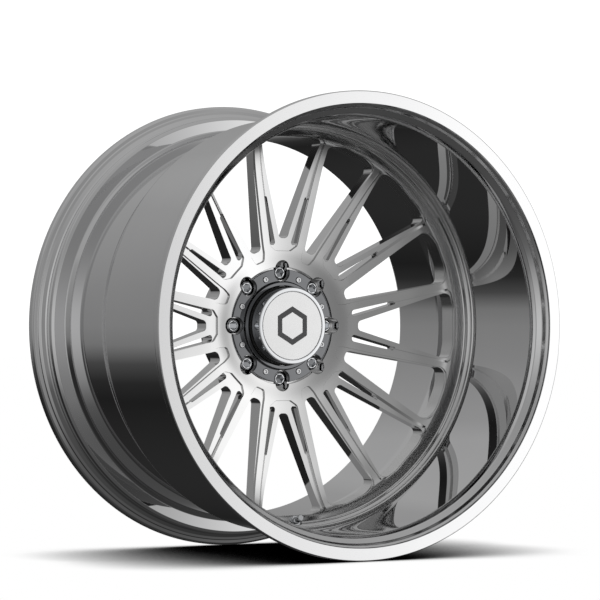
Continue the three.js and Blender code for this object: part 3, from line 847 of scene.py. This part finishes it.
def make_lug_ring():
    """A stepped plate, scalloped round the nuts and countersunk for its screws."""
    outline = rounded([
        (62, 246.5, 1.2), (67.6, 246.5, 1.0), (69, 251.5, 1.2), (88.5, 251.5, 1.0),
        (88.5, 257.2, 0.3), (66.5, 257.2, 0.2), (66.5, 253.9, 0.2), (62, 253.9, 0.3)], 4)
    scallop = drill("scallop", [
        (13.4, 262), (13.4, 252.3), (13.6, 251.8), (14.1, 251.5), (14.1, 248)], z=LUG_CIRCLE)
    sink = drill("screw sink", [
        (2.7, 262), (2.7, 253.5), (4.6, 253.5), (4.6, 251.9), (5.0, 251.5), (5.0, 248)],
        z=SCREW_CIRCLE, count=32)
    return cut(turned("lug_ring_plate", outline, SMOKED, 240),
               {"scallop": (scallop, 0.0), "screw sink": (sink, HALF_STEP)}, POCKETS, SMOKED)


def make_cap():
    """The cup that stands through the lug ring, with the flange that the ring holds down."""
    outline = rounded([
        (0, 220.6, 0), (53, 220.6, 0.1), (53, 219, 0.9), (59.5, 219, 1.6), (59.5, 242, 0.6),
        (56.9, 242.8, 0.4), (56.9, 254.2, 0.4), (65.5, 254.2, 0.4), (65.5, 257.2, 0.3),
        (61.3, 257.2, 0.4), (61.3, 266, 0.6), (53.9, 266, 0.5), (53.9, 225, 2), (50, 223.6, 1),
        (0, 223.6, 0)], 5, closed=False)
    return turned("cap", outline, CHROME, closed=False)


def make_badge():
    """A satin disc with a hexagonal channel for its enamel."""
    outer, inner = hexagon(30.15, math.pi / 6), hexagon(20.85, math.pi / 6)
    ring = cutter("badge channel", [(outer, 219.9), (outer, 218)])
    core = cutter("channel core", [(inner, 221), (inner, 217)])
    channel = cut(ring, {"core": (core, 0.0)}, 1, BADGE_SILVER)
    outline = rounded([
        (0, 219.4, 0), (52.7, 219.4, 0.7), (52.7, 220.45, 0.1), (0, 220.45, 0)], 5, closed=False)
    plate = turned("badge", outline, BADGE_SILVER, closed=False)
    return cut(plate, {"channel": (channel, 0.0)}, 1, BADGE_SILVER)


def hexagon_socket(radius, lead, levels):
    """A driver's socket with a lead-in: the depths of its floor, its lead-in and its mouth."""
    floor, neck, mouth, clear = levels
    return cutter("socket", [(hexagon(radius), floor), (hexagon(radius), neck),
                             (hexagon(lead), mouth), (hexagon(lead), clear)])


def make_lug_nuts():
    outline = rounded([
        (0, 259, 0), (7.8, 259, 0.3), (10.2, 261.0, 1.6), (11.2, 263.4, 1.0), (11.2, 270, 0.4),
        (9.6, 271.6, 0.4), (9.6, 290, 0.4), (11.2, 291.4, 0.4), (11.2, 295.4, 0.4),
        (7.8, 299.7, 0.3), (0, 299.7, 0)], 4, closed=False)
    body = turned("lug_nuts", outline, CHROME, 48, closed=False)
    socket = hexagon_socket(6.6, 7.6, (271, 259.9, 258.9, 255))
    thread = drill("stud thread", [(6.3, 310), (6.3, 275)], count=32)
    nut = cut(body, {"socket": (socket, 0.0), "stud thread": (thread, 0.0)}, 1, CHROME)
    nut.data.transform(Matrix.Translation((0, 0, LUG_CIRCLE * MM)))
    return repeated("lug_nuts", nut, POCKETS, 0.0, CHROME)


def make_ring_screws():
    outline = rounded([
        (0, 250.1, 0), (4.3, 250.1, 0.6), (4.3, 253.35, 0.3), (2.4, 253.35, 0.1),
        (2.4, 269.6, 0.3), (0, 270, 0)], 4, closed=False)
    body = turned("ring_screws", outline, ZINC, 40, closed=False)
    socket = hexagon_socket(2.3, 2.6, (252.1, 250.5, 250.1, 248))
    screw = cut(body, {"socket": (socket, 0.0)}, 1, ZINC)
    screw.data.transform(Matrix.Translation((0, 0, SCREW_CIRCLE * MM)))
    return repeated("ring_screws", screw, POCKETS, HALF_STEP, ZINC)


settle(smoothed(make_lug_ring()), ["lug_ring"])
settle(smoothed(make_cap()), ["cap_body"])
settle(smoothed(make_badge()), ["cap_badge"])
numbers = range(1, POCKETS + 1)
settle(smoothed(make_lug_nuts()), [f"lug_nut_{i}" for i in numbers])
settle(smoothed(make_ring_screws()), [f"ring_screw_{i}" for i in numbers])


# ---- tyre valve -----------------------------------------------------------------------------
def threaded(radius, start, end, pitch=0.9, depth=0.35):
    """Thread crests as rings along a stem, from its inner end outwards."""
    points = []
    count = int((start - end) / pitch)
    for k in range(count):
        points += [(radius, start - pitch * k - 0.1), (radius - depth, start - pitch * (k + 0.5))]
    return points


def make_stem():
    """The stem from its inner head to the thread that the cap screws on."""
    seat = INNER_SEAT
    outline = [
        (1.5, seat - 3), (2.9, seat - 8), (2.9, -7), (2.6, -8), (2.6, STEM_TIP), (3.4, STEM_TIP),
        *reversed(threaded(3.8, -10.6, STEM_TIP + 0.6)), (3.8, -10), (5.2, -9),
        *reversed(threaded(5.2, seat + 1.6, -8.6)), (5.2, seat + 2.4), (9, seat + 2.4),
        (9, seat + 5), (8, seat + 6), (1.5, seat + 6)]
    return valve_turned("stem", outline, CHROME, 40)


def make_valve_nut():
    shape = rounded([(p.x, p.y, 0.3) for p in hexagon(9.2)], 3)
    small = [p * 0.93 for p in shape]
    levels = [(small, -2), (shape, -2.6), (shape, -6.4), (small, -7)]
    body = cutter("valve_nut_hex", [(outline, depth + HALF_WIDTH) for outline, depth in levels])
    bore = drill("bore", [(5.5, depth + HALF_WIDTH) for depth in (5, -20)])
    nut = cut(body, {"bore": (bore, 0.0)}, 1, CHROME)
    place_on_valve(nut)
    return nut


def make_valve_cap():
    """A closed cap with a knurl of round flutes."""
    tip = STEM_TIP
    outline = rounded([
        (0, tip - 3.4, 0), (4.2, tip - 3.4, 0.5), (5, tip - 2.6, 0.4), (5, -10.8, 0.3),
        (4.1, -10.8, 0.2), (4.1, tip - 2, 0.2), (0, tip - 2, 0)], 3, closed=False)
    body = turned("knurled_cap", [(p.x, p.y + HALF_WIDTH) for p in outline], CHROME, 96,
                  closed=False)
    flute = drill("flute", [(0.36, depth + HALF_WIDTH) for depth in (-11.6, tip - 1.4)],
                  z=5.12, count=10)
    cap = cut(body, {"flute": (flute, 0.0)}, 32, CHROME)
    place_on_valve(cap)
    return cap


def make_washer():
    return valve_turned("washer", rounded([
        (5.65, -1.7, 0.1), (9.1, -1.7, 0.4), (9.1, -0.3, 0.2), (5.65, -0.3, 0.1)], 3), CHROME, 64)


def make_pin():
    """The plunger in the valve's core, with its wider foot."""
    tip = STEM_TIP - 0.4
    return valve_turned("pin", rounded([
        (0, tip, 0), (0.6, tip, 0.15), (0.6, -1.4, 0), (1.8, -1.4, 0.2), (1.8, -0.2, 0.2),
        (0, -0.2, 0)], 3, closed=False), VALVE_BRASS, 24, closed=False)


settle(smoothed(make_stem()), ["valve_stem"])
settle(smoothed(make_valve_nut()), ["valve_nut"])
settle(smoothed(make_valve_cap()), ["valve_cap"], "dust_cap")
settle(smoothed(make_washer()), ["valve_washer"])
settle(smoothed(make_pin()), ["valve_pin"], "core_pin")


# ---- carried-over nodes -----------------------------------------------------------------------
# These show as the CAD made them. The rest are dressed too, though other pieces replace them.
CARRIED = {
    "cap_emblem": ENAMEL, "cap_seal": RUBBER, "valve_grommet": RUBBER, "valve_cap_seal": RUBBER,
    "valve_core": VALVE_BRASS, "valve_spring": SPRING_STEEL,
}
for name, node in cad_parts.items():
    node.data.materials.clear()
    node.data.materials.append(CARRIED.get(name, CHROME))


# ---- floor, light and camera -----------------------------------------------------------------
def make_floor():
    """A white floor that glows evenly, with a contact shadow painted into its glow where the wheel
    stands close above it.
    """
    reach = 30.0
    corners = [(-reach, -reach, 0), (reach, -reach, 0), (reach, reach, 0), (-reach, reach, 0)]
    mesh = mesh_of("floor", corners, faces=[(0, 1, 2, 3)])
    floor = bpy.data.objects.new("floor", mesh)
    scene.collection.objects.link(floor)
    floor.location = (0, 0, cad_box[0].z - 0.0005)
    material = bpy.data.materials.new("evenly lit white studio floor")
    material.use_nodes = True
    tree = material.node_tree
    tree.nodes.clear()
    # Painted contact shadow: ambient occlusion within 26 cm dims the floor's white glow under the
    # wheel.
    sky = add(tree, "ShaderNodeAmbientOcclusion", {"Distance": 0.26}, samples=24).outputs["AO"]
    shade = add(tree, "ShaderNodeMapRange", {"Value": sky, "From Min": 0.18, "From Max": 0.86})
    deep = add(tree, "ShaderNodeMath", {0: shade.outputs[0], 1: 1.7}, operation="POWER").outputs[0]
    pale = add(tree, "ShaderNodeEmission", {"Color": linear("#FFFFFF"), "Strength": deep})
    add(tree, "ShaderNodeOutputMaterial", {"Surface": pale.outputs[0]})
    mesh.materials.append(material)
    floor.visible_glossy = False


def grey_ramp(tree, factor, stops):
    """A ramp of plain greys, from (position, grey) stops."""
    ramp = add(tree, "ShaderNodeValToRGB", {"Fac": factor})
    while len(ramp.color_ramp.elements) < len(stops):
        ramp.color_ramp.elements.new(0.5)
    for element, (position, grey) in zip(ramp.color_ramp.elements, stops):
        element.position = position
        element.color = (grey, grey, grey, 1)
    return ramp.outputs[0]


def soft_panel(tree, azimuth, elevation, middle, spread, power):
    """A panel of light without edges: its middle and spread, in degrees across and up."""
    glow = power
    for angle, at, width in zip((azimuth, elevation), middle, spread):
        value = angle
        for operation, number in (("SUBTRACT", math.radians(at)), ("DIVIDE", math.radians(width)),
                                  ("POWER", 2.0), ("MULTIPLY", -0.5), ("EXPONENT", 0.0)):
            value = add(tree, "ShaderNodeMath", {
                0: value, 1: number}, operation=operation).outputs[0]
        glow = add(tree, "ShaderNodeMath", {0: value, 1: glow}, operation="MULTIPLY").outputs[0]
    return glow


# What the polished metal mirrors: greys by height, from straight down to straight up, behind
# the wheel and in front of it, and soft panels as (middle), (spread) and power.
ROOM_BEHIND = [
    (0.0, 0.030), (0.25, 0.028), (0.28, 0.024), (0.338, 0.0166), (0.374, 0.0277), (0.414, 0.078),
    (0.456, 0.227), (0.5, 0.273), (0.586, 0.303), (0.65, 0.34), (0.72, 0.38), (0.75, 0.441),
    (1.0, 0.50)]
ROOM_BEFORE = [(0.0, 0.06), (0.3, 0.12), (0.36, 0.24), (0.5, 0.25), (0.75, 0.36), (1.0, 0.5)]
PANELS = [
    ((35.5, 1), (7.2, 14), 1.22), ((42, -13), (5, 5), 0.6), ((-32, 0), (13, 11), 0.5),
    ((-80, 5), (7, 22), 0.4)]
AMBIENT = 0.05
BACKDROP = 1.12


def make_world():
    """A white studio. Polished metal mirrors a grey room, dark below the horizon behind the
    wheel, with soft panels of light in front of it."""
    world = bpy.data.worlds.new("studio")
    scene.world = world
    world.use_nodes = True
    tree = world.node_tree
    tree.nodes.clear()
    ray = add(tree, "ShaderNodeTexCoord").outputs["Generated"]
    way = add(tree, "ShaderNodeSeparateXYZ", {0: ray}).outputs
    height = add(tree, "ShaderNodeMapRange", {
        "Value": way["Z"], "From Min": -1.0, "From Max": 1.0}).outputs[0]
    facing = add(tree, "ShaderNodeMapRange", {
        "Value": way["Y"], "From Min": 0.1, "From Max": -0.3}).outputs[0]
    room = add(tree, "ShaderNodeMix", {"Factor": facing}, data_type="RGBA")
    tree.links.new(grey_ramp(tree, height, ROOM_BEHIND), room.inputs["A"])
    tree.links.new(grey_ramp(tree, height, ROOM_BEFORE), room.inputs["B"])
    toward = add(tree, "ShaderNodeMath", {0: way["Y"], 1: -1.0}, operation="MULTIPLY").outputs[0]
    azimuth = add(tree, "ShaderNodeMath", {
        0: way["X"], 1: toward}, operation="ARCTAN2").outputs[0]
    elevation = add(tree, "ShaderNodeMath", {0: way["Z"]}, operation="ARCSINE").outputs[0]
    light = 0.0
    for middle, spread, power in PANELS:
        panel = soft_panel(tree, azimuth, elevation, middle, spread, power)
        light = add(tree, "ShaderNodeMath", {0: panel, 1: light}, operation="ADD").outputs[0]
    white = (1, 1, 1, 1)
    grounds = [add(tree, "ShaderNodeBackground", {"Color": colour, "Strength": strength}).outputs[0]
               for colour, strength in ((room.outputs["Result"], 1.0), (white, light),
                                        (white, BACKDROP), (white, AMBIENT))]
    mirrored = add(tree, "ShaderNodeAddShader", {0: grounds[0], 1: grounds[1]}).outputs[0]
    path = add(tree, "ShaderNodeLightPath").outputs
    plain = add(tree, "ShaderNodeMixShader", {
        0: path["Is Diffuse Ray"], 1: grounds[2], 2: grounds[3]}).outputs[0]
    mix = add(tree, "ShaderNodeMixShader", {
        0: path["Is Glossy Ray"], 1: plain, 2: mirrored}).outputs[0]
    add(tree, "ShaderNodeOutputWorld", {"Surface": mix})


def make_overhead_light():
    """A wide soft light from above and a little in front."""
    light = bpy.data.lights.new("overhead light", "SUN")
    light.energy = 1.8
    light.angle = math.radians(60)
    lamp = bpy.data.objects.new("overhead light", light)
    scene.collection.objects.link(lamp)
    lamp.location = (0, -2, 4)
    lamp.rotation_euler = (math.radians(27), 0, 0)
    lamp.visible_glossy = False
    lamp.visible_camera = False


def make_camera():
    """A long lens level with the axle, a little to the wheel's left."""
    camera = bpy.data.objects.new("camera", bpy.data.cameras.new("camera"))
    scene.collection.objects.link(camera)
    camera.location = (-2.4893, -4.2821, 0.0)
    yaw, pitch = math.radians(30.28), math.radians(0.459)
    look = Vector((math.sin(yaw) * math.cos(pitch), math.cos(yaw) * math.cos(pitch),
                   math.sin(pitch)))
    camera.rotation_euler = look.to_track_quat("-Z", "Y").to_euler()
    camera.data.lens = 192.43
    camera.data.sensor_width = 36.0
    camera.data.clip_end = 100
    scene.camera = camera


make_floor()
make_world()
make_overhead_light()
make_camera()
scene.view_settings.view_transform = "Standard"
